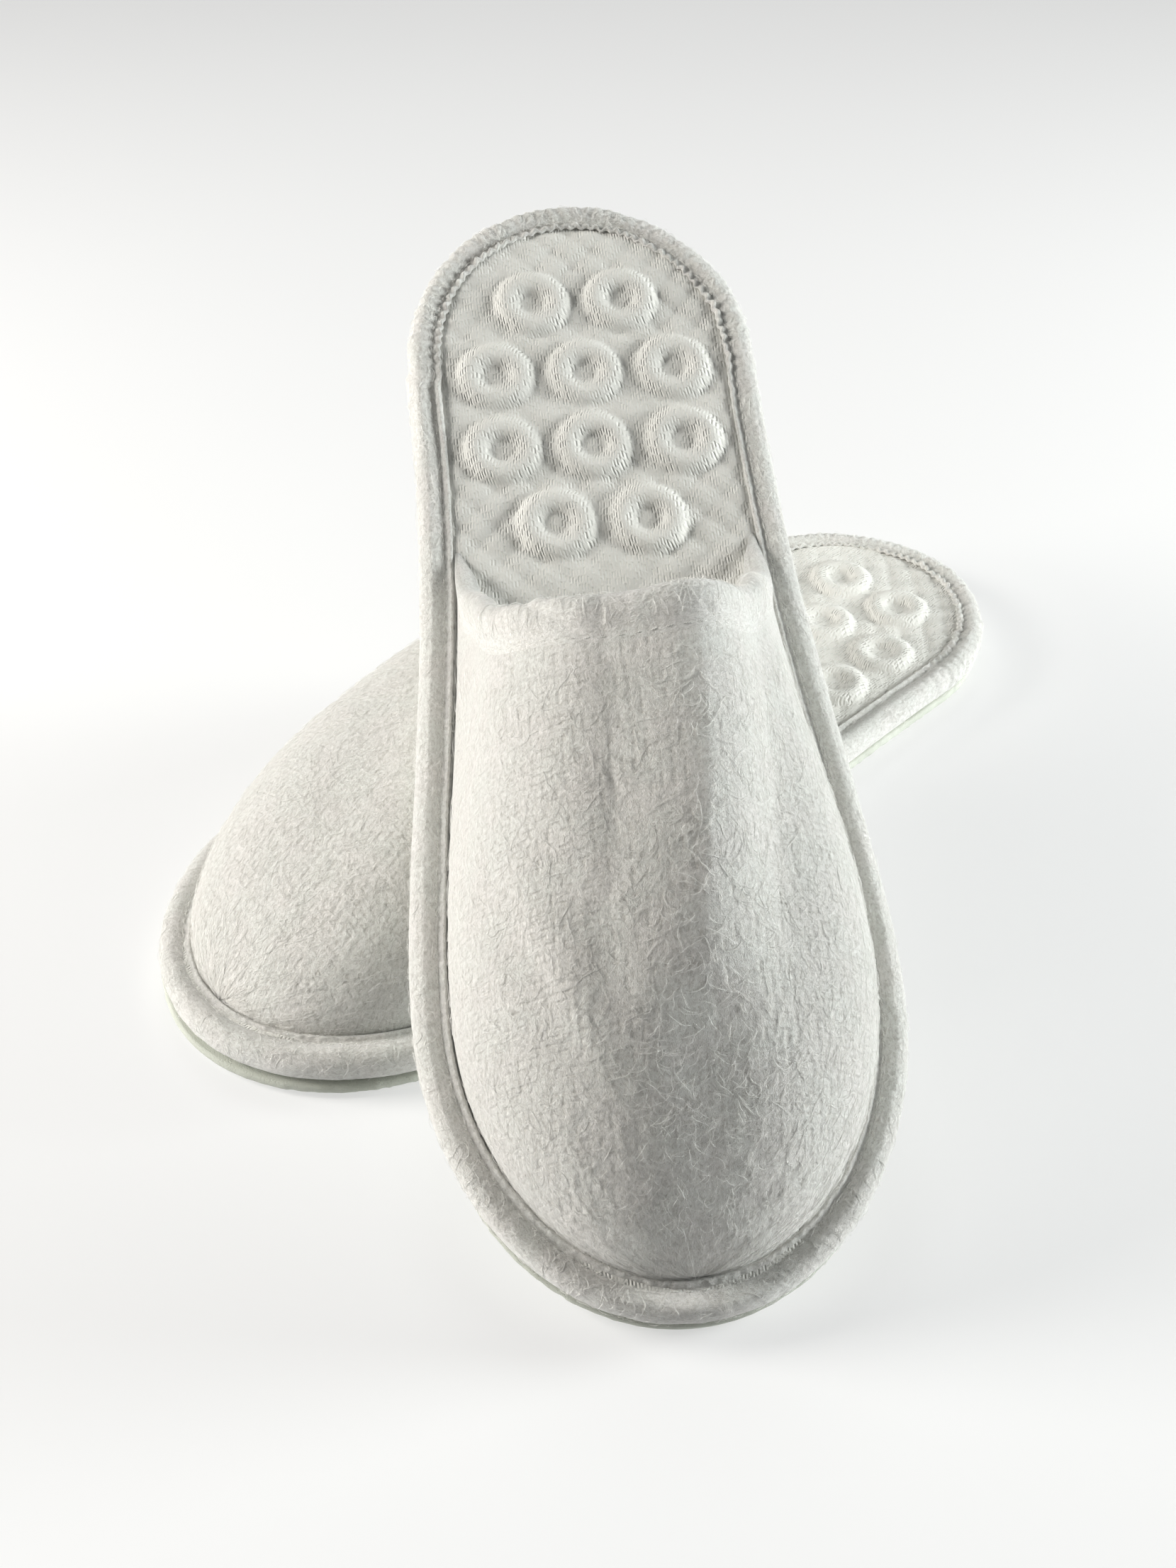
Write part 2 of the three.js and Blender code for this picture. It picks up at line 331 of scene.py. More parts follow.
def rim_rows(steps):
    """Stations from the toe tip (0) over the side (1 to 2) to the heel tip (3)."""
    toe, side, heel = steps
    return np.concatenate([
        np.linspace(0, 1, toe, endpoint=False),
        np.linspace(1, 2, side, endpoint=False),
        np.linspace(2, 3, heel + 1),
    ])


def rim_y(stations, inset):
    """How far from the toe tip each station lies."""
    toe = BALL_FROM_TOE - (BALL_FROM_TOE - inset) * np.cos(np.pi / 2 * np.clip(stations, 0, 1))
    side = (LENGTH - HEEL_ROUND - BALL_FROM_TOE) * np.clip(stations - 1, 0, 1)
    heel = (HEEL_ROUND - inset) * np.sin(np.pi / 2 * np.clip(stations - 2, 0, 1))
    return toe + side + heel


def rim_point(stations, inset):
    """Half the width and the distance from the toe tip at each station."""
    y = rim_y(stations, inset)
    width = half_width(y, inset)
    ends = (stations < 1e-9) | (stations > 3 - 1e-9)
    return np.where(ends, 0, width), y


def rim_loop(steps):
    """Stations and sides (+1 right, -1 left) once round the outline, and the length along it."""
    stations = rim_rows(steps)
    loop = np.concatenate([stations, stations[-2:0:-1]])
    side = np.concatenate([np.ones(len(stations)), -np.ones(len(stations) - 2)])
    width, y = rim_point(loop, 0)
    x = width * side
    return loop, side, travelled(np.hypot(np.diff(x), np.diff(y)))


def slab(section, steps, columns, top=None, drift=None):
    """A solid with the sole's outline. section lists (inset, z) from the underside's rim to the top's.

    top, a function of x and y, adds to the height of the upper face; drift, of y and z, to the inset.
    """
    stations = rim_rows(steps)
    share = np.linspace(-1, 1, columns)
    low_share = np.linspace(1, -1, UNDER_COLUMNS)
    rows = []
    for station in stations:
        st = np.full(1, station)
        way = rim_y(st, 0)[0]
        right = [(rim_point(st, inset + (drift(way, z) if drift else 0)), z) for inset, z in section]
        side = [(w[0], y[0], z) for (w, y), z in right]
        w, y = side[-1][0], side[-1][1]
        top_z = np.full(columns, side[-1][2])
        if top is not None:
            top_z = top_z + top(share * w, np.full(columns, y))
        up = np.stack([share * w, np.full(columns, y), top_z], 1)
        down = np.array([(a, b, c) for a, b, c in side[::-1]][1:])
        under_w, under_y, under_z = side[0]
        level_line = np.ones(UNDER_COLUMNS)
        under = np.stack([low_share * under_w, level_line * under_y, level_line * under_z], 1)[1:-1]
        left = np.array([(-a, b, c) for a, b, c in side[:-1]])
        rows.append(np.concatenate([up, down, under, left]))
    grid = np.array(rows)
    wide = np.concatenate([grid, grid[:, :1]], 1)
    return loft(grid, caps="", u=wide[..., 0] + 0.6 * wide[..., 2], v=wide[..., 1])


# ---- node materials ----


class Shader:
    """A short way to write a node tree."""

    def __init__(self, name):
        self.material = bpy.data.materials.new(name)
        self.material.use_nodes = True
        self.tree = self.material.node_tree
        self.surface = self.tree.nodes["Principled BSDF"]

    def node(self, kind, inputs=None, **settings):
        made = self.tree.nodes.new(kind)
        for key, value in settings.items():
            setattr(made, key, value)
        for key, value in (inputs or {}).items():
            if isinstance(value, bpy.types.NodeSocket):
                self.tree.links.new(value, made.inputs[key])
            else:
                made.inputs[key].default_value = value
        return made

    def math(self, operation, a, b=0.0, c=0.0):
        return self.node("ShaderNodeMath", {0: a, 1: b, 2: c}, operation=operation).outputs[0]

    def noise(self, vector, scale, detail=2.0, rough=0.5, distortion=0.0):
        inputs = {
            "Vector": vector,
            "Scale": scale,
            "Detail": detail,
            "Roughness": rough,
            "Distortion": distortion,
        }
        return self.node("ShaderNodeTexNoise", inputs).outputs["Fac"]

    def hairs(self, vector, distortion, sharpness):
        """Thin curling lines, 1 along each and 0 between them."""
        field = self.noise(vector, 1.0, 1.5, 0.5, distortion)
        away = self.math("ABSOLUTE", self.math("SUBTRACT", field, 0.5))
        return self.remap(self.math("MULTIPLY", away, sharpness), 0.55, 0.0)

    def turned(self, vector, angle, scale):
        rotated = self.node("ShaderNodeMapping", {"Vector": vector, "Rotation": (0, 0, angle)}).outputs[0]
        return self.stretch(rotated, scale)

    def blend_colors(self, mode, low, high):
        made = self.node("ShaderNodeMix", data_type="RGBA", blend_type=mode)
        made.inputs[0].default_value = 1.0
        self.tree.links.new(low, made.inputs[6])
        self.tree.links.new(high, made.inputs[7])
        return made.outputs[2]

    def stretch(self, vector, scale):
        return self.node("ShaderNodeMapping", {"Vector": vector, "Scale": scale}).outputs[0]

    def remap(self, value, low, high, to_low=0.0, to_high=1.0):
        inputs = {"Value": value, "From Min": low, "From Max": high, "To Min": to_low, "To Max": to_high}
        return self.node("ShaderNodeMapRange", inputs, interpolation_type="SMOOTHSTEP").outputs["Result"]

    def mix(self, share, low, high):
        made = self.node("ShaderNodeMix", data_type="RGBA")
        for socket, value in ((made.inputs[0], share), (made.inputs[6], low), (made.inputs[7], high)):
            if isinstance(value, bpy.types.NodeSocket):
                self.tree.links.new(value, socket)
            else:
                socket.default_value = value
        return made.outputs[2]

    def cloth(self):
        """Cloth coordinates in millimetres: x across the ribs, y along them."""
        return self.node("ShaderNodeUVMap", uv_map="cloth").outputs[0]

    def split(self, vector):
        parts = self.node("ShaderNodeSeparateXYZ", {0: vector})
        return parts.outputs[0], parts.outputs[1]

    def dashes(self, across, along, pitch, length, thick, wander):
        """Rows of short broken grooves: 0 between them, up to 1 in them."""
        place = self.math("ADD", self.math("DIVIDE", across, pitch), wander)
        column = self.math("FLOOR", place)
        offset = self.math("ABSOLUTE", self.math("SUBTRACT", self.math("FRACT", place), 0.5))
        start = self.node("ShaderNodeTexWhiteNoise", {"W": column}, noise_dimensions="1D").outputs["Value"]
        run = self.math("ADD", self.math("DIVIDE", along, length), self.math("MULTIPLY", start, 7.0))
        part = self.math("FRACT", run)
        cell = self.node("ShaderNodeCombineXYZ", {0: column, 1: self.math("FLOOR", run)}).outputs[0]
        depth = self.node("ShaderNodeTexWhiteNoise", {"Vector": cell}, noise_dimensions="2D").outputs["Value"]
        line = self.remap(offset, thick / pitch, 0.0)
        ends = self.math("MULTIPLY", self.remap(part, 0.02, 0.22), self.remap(part, 0.92, 0.7))
        shape = self.math("MULTIPLY", line, ends)
        return self.math("MULTIPLY", shape, self.remap(depth, 0.1, 0.8, 0.15, 1.0))

    def finish(self, color, roughness, height, distance, strength=1.0, sheen=0.0):
        self.tree.links.new(color, self.surface.inputs["Base Color"])
        if isinstance(roughness, bpy.types.NodeSocket):
            self.tree.links.new(roughness, self.surface.inputs["Roughness"])
        else:
            self.surface.inputs["Roughness"].default_value = roughness
        relief = self.node("ShaderNodeBump", {"Height": height, "Strength": strength, "Distance": distance})
        self.tree.links.new(relief.outputs[0], self.surface.inputs["Normal"])
        self.surface.inputs["Specular IOR Level"].default_value = 0.2
        self.surface.inputs["Sheen Weight"].default_value = sheen
        self.surface.inputs["Sheen Roughness"].default_value = 0.5
        return self.material


def nap_material(name, rib_pitch, rib_depth, weft_depth, pale, deep, fuzz=0.28):
    """Brushed fabric: a felted nap of curly fibres over faint broken ribs, with painted shade in its grooves
    and hollows and a painted highlight on its fibres.
    """
    s = Shader(name)
    cloth = s.cloth()
    across, along = s.split(cloth)
    wander = s.math("MULTIPLY", s.noise(cloth, 0.12, 3.0), 0.9)
    ribs = s.dashes(across, along, rib_pitch, 4.6, 0.85, wander)
    flank = s.remap(s.math("ABSOLUTE", across), 4.0, 24.0, 0.2, 1.0)
    weft = s.math("MULTIPLY", s.dashes(along, across, 1.65, 3.4, 0.5, wander), flank)
    clumps = s.noise(s.stretch(cloth, (1.5, 0.95, 1)), 1.0, 5.0, 0.72, 0.6)
    curls = s.hairs(s.turned(cloth, 0.15, (2.3, 0.7, 1)), 1.2, 8.0)
    wisps = s.hairs(s.turned(cloth, 0.75, (2.6, 0.85, 1)), 1.3, 8.0)
    fine = s.hairs(s.turned(cloth, -0.5, (3.1, 1.0, 1)), 1.2, 7.0)
    finer = s.math("MULTIPLY_ADD", wisps, 0.5, s.math("MULTIPLY", fine, 0.5))
    fibres = s.math("MULTIPLY_ADD", curls, 0.5, finer)
    grooves = s.math("MULTIPLY_ADD", ribs, rib_depth, s.math("MULTIPLY", weft, weft_depth))
    felt = s.math("MULTIPLY_ADD", clumps, 1.25, s.math("MULTIPLY", fibres, 0.34))
    height = s.math("SUBTRACT", felt, grooves)
    clouds = s.noise(cloth, 0.06, 3.0)
    warmth = s.remap(s.noise(cloth, 0.09, 1.0), 0.35, 0.65)
    tint = s.mix(warmth, (0.98, 1.0, 0.98, 1), (1.0, 0.978, 0.972, 1))
    tone = s.blend_colors("MULTIPLY", s.mix(s.remap(clouds, 0.3, 0.7), deep, pale), tint)
    # painted shade: the ribs' grooves and the hollows between clumps are darkened towards a shadow tone
    hollow_shade = s.math("MULTIPLY_ADD", grooves, 0.55, s.remap(clumps, 0.6, 0.36, 0.0, 0.85))
    shadow = (deep[0] * 0.66, deep[1] * 0.645, deep[2] * 0.615, 1)
    shaded = s.mix(hollow_shade, tone, shadow)
    # painted highlight: the curling fibre lines are lightened towards near white
    lit = s.mix(s.math("MULTIPLY", fibres, 0.6), shaded, (0.97, 0.965, 0.94, 1))
    rough = s.remap(clumps, 0.3, 0.7, 0.88, 0.98)
    return s.finish(lit, rough, height, fuzz * MM, 0.8, sheen=0.8)


def knit_material(name):
    """Insole facing: a fine rib knit with a slightly heathered colour, and painted shade in the grooves
    between its ribs.
    """
    s = Shader(name)
    cloth = s.cloth()
    across, along = s.split(cloth)
    wander = s.math("MULTIPLY", s.noise(cloth, 0.25, 2.0), 0.55)
    ribs = s.dashes(across, along, 0.74, 2.2, 0.34, wander)
    grain = s.noise(s.stretch(cloth, (2.6, 1.6, 1)), 1.0, 3.0, 0.6, 0.6)
    clouds = s.noise(cloth, 0.07, 3.0)
    height = s.math("SUBTRACT", s.math("MULTIPLY", grain, 0.35), s.math("MULTIPLY", ribs, 0.55))
    tone = s.mix(s.remap(clouds, 0.3, 0.7), (0.775, 0.767, 0.725, 1), (0.810, 0.802, 0.762, 1))
    # painted shade: the rib grooves are darkened
    color = s.mix(s.math("MULTIPLY", ribs, 0.16), tone, (0.74, 0.725, 0.67, 1))
    return s.finish(color, 0.93, height, 0.4 * MM, 1.0, sheen=0.1)


def foam_material(name, pale, deep, pore, roughness):
    """Foamed sheet: fine pores in an even matt colour."""
    s = Shader(name)
    cloth = s.node("ShaderNodeTexCoord").outputs["Object"]
    pores = s.node("ShaderNodeTexVoronoi", {"Vector": cloth, "Scale": 1 / (pore * MM)}).outputs["Distance"]
    clouds = s.noise(cloth, 60.0, 3.0)
    height = s.math("MULTIPLY_ADD", clouds, 0.3, s.remap(pores, 0.0, 0.5))
    color = s.mix(s.remap(clouds, 0.3, 0.7), deep, pale)
    return s.finish(color, roughness, height, 0.12 * MM, 0.7)


def thread_material(name):
    """Spun thread: a fine twist along each stitch, with painted shade in the twist's grooves."""
    s = Shader(name)
    across, along = s.split(s.cloth())
    twist = s.math("ADD", s.math("MULTIPLY", across, 5.0), s.math("MULTIPLY", along, 9.0))
    strands = s.math("SINE", twist)
    # painted shade: the colour is darkest where the twist's height is lowest
    color = s.mix(s.remap(strands, -1.0, 1.0), (0.66, 0.65, 0.61, 1), (0.80, 0.79, 0.76, 1))
    return s.finish(color, 0.85, strands, 0.05 * MM, 0.7, sheen=0.1)


def fibre_material(name):
    """Single fibres of the nap: pale and slightly translucent looking."""
    s = Shader(name)
    shade = s.noise(s.node("ShaderNodeTexCoord").outputs["Object"], 900.0, 2.0)
    color = s.mix(s.remap(shade, 0.3, 0.7), (0.80, 0.79, 0.76, 1), (0.90, 0.895, 0.87, 1))
    return s.finish(color, 0.7, shade, 0.01 * MM, 0.2, sheen=0.1)


def floor_material(name):
    s = Shader(name)
    clouds = s.noise(s.node("ShaderNodeTexCoord").outputs["Object"], 3.0, 2.0)
    color = s.mix(clouds, (0.44, 0.44, 0.44, 1), (0.47, 0.47, 0.47, 1))
    s.surface.inputs["Emission Color"].default_value = (1, 1, 1, 1)
    s.surface.inputs["Emission Strength"].default_value = 0.48
    return s.finish(color, 0.9, clouds, 0.01 * MM, 0.1)


# three tones of the off-white cloth; BRIGHT, the tape's and hem's tone, is partly their own whiter cloth and
# partly painted light that lifts them above the vamp
BRIGHT = (0.94, 0.933, 0.905, 1)
PALE = (0.87, 0.862, 0.828, 1)
DEEP = (0.835, 0.823, 0.787, 1)

MATERIALS = {
    "vamp": nap_material("napped_vamp_fabric", 2.4, 0.7, 0.66, PALE, DEEP),
    "tape": nap_material("napped_tape_fabric", 1.5, 0.3, 0.05, BRIGHT, PALE, 0.3),
    "knit": knit_material("insole_rib_knit"),
    "lining": nap_material("brushed_lining", 1.2, 0.2, 0.1, (0.80, 0.77, 0.71, 1), (0.77, 0.74, 0.68, 1)),
    "wadding": foam_material("vamp_wadding", (0.80, 0.79, 0.75, 1), (0.76, 0.75, 0.70, 1), 0.5, 0.95),
    "board": foam_material("midsole_foam", (0.70, 0.68, 0.61, 1), (0.66, 0.64, 0.57, 1), 0.6, 0.9),
    "eva": foam_material("outsole_foam", (0.56, 0.58, 0.52, 1), (0.50, 0.52, 0.46, 1), 0.45, 0.75),
    "thread": thread_material("sewing_thread"),
    "fibre": fibre_material("nap_fibre"),
}


# ---- sole pieces ----


def make_outsole(slipper):
    """A thin foamed sheet with a rough cut edge, which shows under the tape at the toe."""
    top = OUTSOLE_TOP
    lower_edge = [(1.9, 0.0), (1.3, 0.35), (0.75, 1.0), (0.45, 0.5 * top)]
    upper_edge = [(0.5, top - 0.7), (0.8, top - 0.15), (1.2, top)]

    def drift(y, z):
        rough = 0.3 * float(fractal_noise(np.array(y * 0.9), np.array(z * 0.8), 11, 3))
        return OUTSOLE_INSET - 1.0 + rough - 1.5 * float(step(45, 8, y) * step(0.0, 1.6, z))

    geometry = slab(lower_edge + upper_edge, FINE, OUTSOLE_COLUMNS, drift=drift)
    obj = make_piece("outsole", slipper, geometry, "eva")
    replace_halves(obj, slipper, "outsole")


def make_midsole(slipper):
    """A hidden foam sheet; its lower edge is stepped in where the tape folds under."""
    inner, outer = ROLL_WIDTH + 0.3, INSOLE_INSET
    bottom = TAPE_BOTTOM + TAPE + 0.3
    section = [(inner, TAPE_BOTTOM), (inner, bottom), (outer, bottom), (outer, MIDSOLE_TOP)]
    geometry = slab(section, MEDIUM, MIDSOLE_COLUMNS)
    obj = make_piece("midsole", slipper, geometry, "board")
    replace_halves(obj, slipper, "midsole")


def ring_centres():
    """Where the massage rings stand, row by row from the heel."""
    for row, count in enumerate(RINGS_PER_ROW):
        y = LENGTH - RING_FIRST_ROW - RING_ROW_PITCH * row
        for i in range(count):
            yield RING_PITCH * (i - (count - 1) / 2), y


def insole_relief(x, y):
    """Massage rings, diamond quilting and the pad's soft random waves."""
    height = np.zeros_like(x)
    ring_height = RING_RISE * (RING_TOP - INSOLE_TOP)
    ring_middle, ring_thick = (RING_OUTER + RING_HOLE) / 2, (RING_OUTER - RING_HOLE) / 2
    for k, (cx, cy) in enumerate(ring_centres()):
        r = np.hypot((x - cx) * (1 + 0.02 * math.sin(k * 2.3)), y - cy)
        crest = np.clip(1 - ((r - ring_middle) / ring_thick) ** 2, 0, 1) ** 1.25
        floor = RING_FLOOR * step(6.3, 4.0, r)
        height = np.maximum(height, ring_height * (floor + (1 - floor) * crest))
    quilt = 0.0
    for direction in (1, -1):
        phase = (x * direction + y) / (QUILT_PITCH * math.sqrt(2))
        line = np.abs(phase - np.round(phase)) * QUILT_PITCH
        quilt = quilt - QUILT_DEPTH * np.exp(-((line / QUILT_LINE) ** 2))
    strength = 0.55 + 0.45 * fractal_noise(x * 0.04, y * 0.04, 31, 2)
    quilt = quilt * strength * (1 - step(0.0, 1.0, height))
    waves = 0.22 * fractal_noise(x * 0.05, y * 0.05, 33, 2)
    return height + quilt + waves


def make_insole(slipper):
    """The padded, fabric-faced insole; its pad swells a little just inside the tape's lip."""
    inset = INSOLE_INSET
    section = [
        (inset + 0.2, INSOLE_BOTTOM),
        (inset, INSOLE_BOTTOM + 0.4),
        (inset, INSOLE_TOP - 0.5),
        (inset + 0.4, INSOLE_TOP),
    ]

    def top(x, y):
        edge = np.minimum(half_width(y, inset) - np.abs(x), LENGTH - inset - y)
        pillow = 0.75 * step(5.2, 8.8, edge) - 0.35 * step(9.0, 22.0, edge)
        return pillow + insole_relief(x, y) * step(5.0, 8.5, edge) * (y > 60)

    geometry = slab(section, INSOLE_STEPS, INSOLE_COLUMNS, top)
    obj = make_piece("insole", slipper, geometry, "knit")
    replace_halves(obj, slipper, "insole")


TAPE_SECTION = (
    # inset, z above the tape's underside, share that takes puckers
    (8.0, 0.0, 0.0), (5.0, 0.0, 0.1), (2.6, 0.05, 0.3), (1.2, 0.7, 0.6), (0.35, 1.9, 0.9), (0.0, 3.4, 1.0),
    (0.0, 5.0, 1.0), (0.3, 6.6, 1.0), (1.0, 7.9, 1.0), (2.1, 8.7, 1.0), (3.2, 8.95, 1.0), (4.3, 8.8, 0.9),
    (5.2, 8.45, 0.7), (5.9, 8.0, 0.5), (6.4, 7.85, 0.5), (6.8, 8.1, 0.8), (7.2, 8.6, 1.0), (7.7, 8.75, 1.0),
    (8.2, 8.3, 0.9), (8.2, 7.7, 0.5), (6.0, 7.5, 0.0), (3.0, 7.5, 0.0), (1.6, 7.4, 0.0), (1.5, 1.4, 0.0),
    (3.0, 1.2, 0.0), (8.0, 1.2, 0.0),
)


def smooth_section(section, times):
    """Corner cutting: doubles the section's points and rounds it, as soft cloth is."""
    values = np.array(section, float)
    for _ in range(times):
        following = np.roll(values, -1, 0)
        near, far = 0.75 * values + 0.25 * following, 0.25 * values + 0.75 * following
        values = np.stack([near, far], 1).reshape(-1, 3)
    return values


def pucker(length, across, y, side, seed):
    """How far the tape stands proud along its run: gathered round the heel, calmer along the sides."""
    heel = step(LENGTH - 75, LENGTH - 30, y)
    toe = step(60, 15, y)
    lip = step(6.4, 7.4, across - 8) * heel * step(-1, 1, side)
    gather = 0.08 + 0.3 * heel * np.where(side > 0, 1.15, 0.8) + 0.08 * toe + 0.3 * lip
    broad = value_noise(length / 3.6, across * 0.22, seed)
    narrow = value_noise(length / 1.7, across * 0.4, seed + 1)
    creases = broad * 0.7 + narrow * 0.3
    slow = 0.22 * value_noise(length / 22, across * 0.05, seed + 2)
    slow = slow * (1 - 0.7 * toe)
    drawn = value_noise(length / 60, across * 0.7, seed + 5) * 0.16
    drawn = drawn * step(2.0, 4.0, across) * (1 - 0.6 * toe)
    wander = 1.6 * value_noise(length / 9, across * 0.1, seed + 3)
    pulls = np.cos(2 * np.pi * length / STITCH_PITCH + wander)
    crimp = pulls * (0.17 * step(19.5, 21.5, across) * (0.35 + 0.65 * heel) + 0.17 * heel)
    return gather * creases + slow + drawn + crimp


def make_binding(slipper):
    """Tape folded round the sole's edge, with its stitch groove, raised lip and lapped end."""
    stations, side, length = rim_loop(BINDING_STEPS)
    section = smooth_section(TAPE_SECTION, 1)
    seed = SEEDS["tape"][slipper.side]
    lap_at = lap_length(stations, side, length)
    grid = []
    for inset, z, share in section:
        _, y = rim_point(stations, inset)
        proud = share * pucker(length, inset * 2 + z, y, side, seed)
        lap = length - lap_at - 1.1 * (z - 5)
        proud += 0.75 * share * step(-0.35, 0.35, lap) * step(26, 4, lap)
        spread, reach = rim_point(stations, inset - proud)
        ends = (stations < 1e-9) | (stations > 3 - 1e-9)
        lift = np.where(z > 4, 1.0, 0.15) * share * proud * step(0.5, 3.0, inset)
        grid.append(np.stack([np.where(ends, 0, spread) * side, reach, TAPE_BOTTOM + z + lift], 1))
    grid = np.array(grid).transpose(1, 0, 2)
    rows, columns = grid.shape[:2]
    around = travelled(np.hypot(*np.diff(section[:, :2], axis=0).T))
    around = np.append(around, around[-1] + 1.0)
    along = np.append(length, length[-1] + 0.8)
    u = np.broadcast_to(around, (rows + 1, columns + 1))
    v = np.broadcast_to(along[:, None], (rows + 1, columns + 1))
    geometry = loft(grid, wrap_rows=True, u=u, v=v)
    obj = make_piece("edge_binding", slipper, geometry, "tape")
    replace_halves(obj, slipper, "edge_binding")
    make_tape_fibres(slipper, grid)


def make_tape_fibres(slipper, grid):
    """Fibres on the tape's visible roll and lip, lying across it."""
    first, last = 4, 33
    centre = grid[:, first:last].mean(1, keepdims=True)
    normals = outward_normals(grid, centre)
    area = (3, len(grid) - 8), (first + 2, last - 2), (0.58, 0.7)
    rng = np.random.default_rng(SEEDS["tape_fibres"][slipper.side])
    geometry = lay_fibres(slipper, grid, normals, area, TAPE_FIBRES, math.pi / 2, rng)
    bend_with_sole(fibre_piece(slipper, "edge_fibres", geometry), slipper)


def lap_length(stations, side, length):
    """Where along the outline the tape's end laps over its start: the left of the heel."""
    left = np.where(side < 0)[0]
    _, y = rim_point(stations, 0)
    return length[left[np.argmin(np.abs(y[left] - (LENGTH - LAP_FROM_HEEL)))]]


def tube_bundle(paths, ups, radii, sides):
    """Many short tubes as one mesh. paths and ups are (tube, joint, 3), radii (tube, joint)."""
    ahead = unit(np.gradient(paths, axis=1))
    across = unit(np.cross(ups, ahead))
    upward = np.cross(ahead, across)
    turn = np.arange(sides) * 2 * np.pi / sides
    ring = across[:, :, None] * np.cos(turn)[:, None] + upward[:, :, None] * np.sin(turn)[:, None]
    points = paths[:, :, None] + ring * radii[:, :, None, None]
    tubes, joints = radii.shape
    t, k, j = np.meshgrid(np.arange(tubes), np.arange(joints - 1), np.arange(sides), indexing="ij")
    t, k, j = t.ravel(), k.ravel(), j.ravel()
    place = (t * joints + k) * sides
    following = place + (j + 1) % sides
    quads = np.stack([place + j, following, following + sides, place + sides + j], 1)
    corner_u = np.stack([j, j + 1, j + 1, j], 1) * 0.4
    corner_v = np.stack([k, k, k + 1, k + 1], 1) * 0.5
    start = np.arange(tubes) * joints * sides
    first = start[:, None] + np.arange(sides)[::-1]
    last = start[:, None] + (joints - 1) * sides + np.arange(sides)
    faces = [tuple(face) for group in (quads, first, last) for face in group.tolist()]
    quad_corners = np.stack([corner_u.ravel(), corner_v.ravel()], 1)
    corners = np.concatenate([quad_corners, np.zeros((2 * tubes * sides, 2))])
    return points.reshape(-1, 3), faces, corners


def run_of_stitches(path, ups, pitch, size, rng):
    """Stitches at an even pitch along a path, thick in the middle, dipping into the cloth at their ends."""
    travel = travelled(np.linalg.norm(np.diff(path, axis=0), axis=1))
    at = np.arange(pitch / 2, travel[-1], pitch)
    at = at + rng.uniform(-0.15, 0.15, len(at))
    long, thick = size
    joint = np.linspace(-1, 1, 7)
    places = at[:, None] + joint * long / 2

    def along_path(values):
        return np.stack([np.interp(places, travel, values[:, k]) for k in range(3)], -1)

    centre, up = along_path(path), unit(along_path(ups))
    ahead = unit(np.gradient(centre, axis=1))
    slant = np.cross(up, ahead) * (rng.uniform(-0.14, 0.14, len(at))[:, None] * joint)[..., None]
    dip = up * (thick * 0.55 * joint**2)[:, None]
    radii = np.broadcast_to(thick / 2 * np.sqrt(np.maximum(0.02, 1 - joint**4)), places.shape)
    return tube_bundle(centre - dip + slant, up, radii, 6)


def make_seam_thread(slipper):
    """The row of stitches along the tape's groove."""
    stations, side, _ = rim_loop(FINE)
    width, y = rim_point(stations, SEAM_INSET)
    path = np.stack([width * side, y, np.full(len(y), TAPE_BOTTOM + SEAM_HEIGHT)], 1)
    path = np.concatenate([path, path[:1]])
    ups = np.broadcast_to([0.0, 0.0, 1.0], path.shape)
    stitches = run_of_stitches(path, ups, STITCH_PITCH, (2.7, 0.5), np.random.default_rng(61))
    obj = make_piece("seam_thread", slipper, stitches, "thread")
    replace_halves(obj, slipper, "seam_thread")


# ---- the upper ----


def opening_edge(lift, right):
    """How far from the toe the opening lies. Its two lower corners run out to points."""
    edge = CORNER_FROM_TOE + (CROWN_FROM_TOE - CORNER_FROM_TOE) * lift**OPENING_BEND
    right_sag = 3.8 * bump(lift, 0.5, 0.3)
    left_sag = 1.5 * bump(lift, 0.3, 0.2) - 1.4 * bump(lift, 0.68, 0.16)
    sag = np.where(right, right_sag, left_sag)
    return edge + CORNER_POINT * step(0.16, 0.0, lift) + sag


def vamp_base_point(angle, along, depth, setback):
    """The upper's smooth shape. angle runs from seam to seam, along from the opening to the toe."""
    across = np.sign(angle) * np.abs(np.sin(angle)) ** (2 / VAMP_ARCH)
    lift = np.clip(np.cos(angle), 0, 1) ** (2 / VAMP_ARCH)
    edge = opening_edge(lift, angle > 0) - setback
    tip = VAMP_INSET + depth
    y = edge + (tip - edge) * along
    reach = np.clip((CROWN_FROM_TOE - y) / (CROWN_FROM_TOE - tip), 0, 1)
    rise = VAMP_CROWN - VAMP_BASE + 0.5 - depth
    ridge = rise * (1 - reach**VAMP_FALL) ** VAMP_ROUND
    z = VAMP_BASE + ridge * lift
    pinch = SIDE_PINCH * bump(z, 33, 16) * step(70, 140, y)
    return np.stack([half_width(y, tip) * across - np.sign(angle) * pinch, y, z], -1)


def tent(x, width, soft):
    """A ridge with straight sides and a slightly rounded top."""
    return np.clip(1 - (np.sqrt(x * x + soft * soft) - soft) / width, 0, 1)


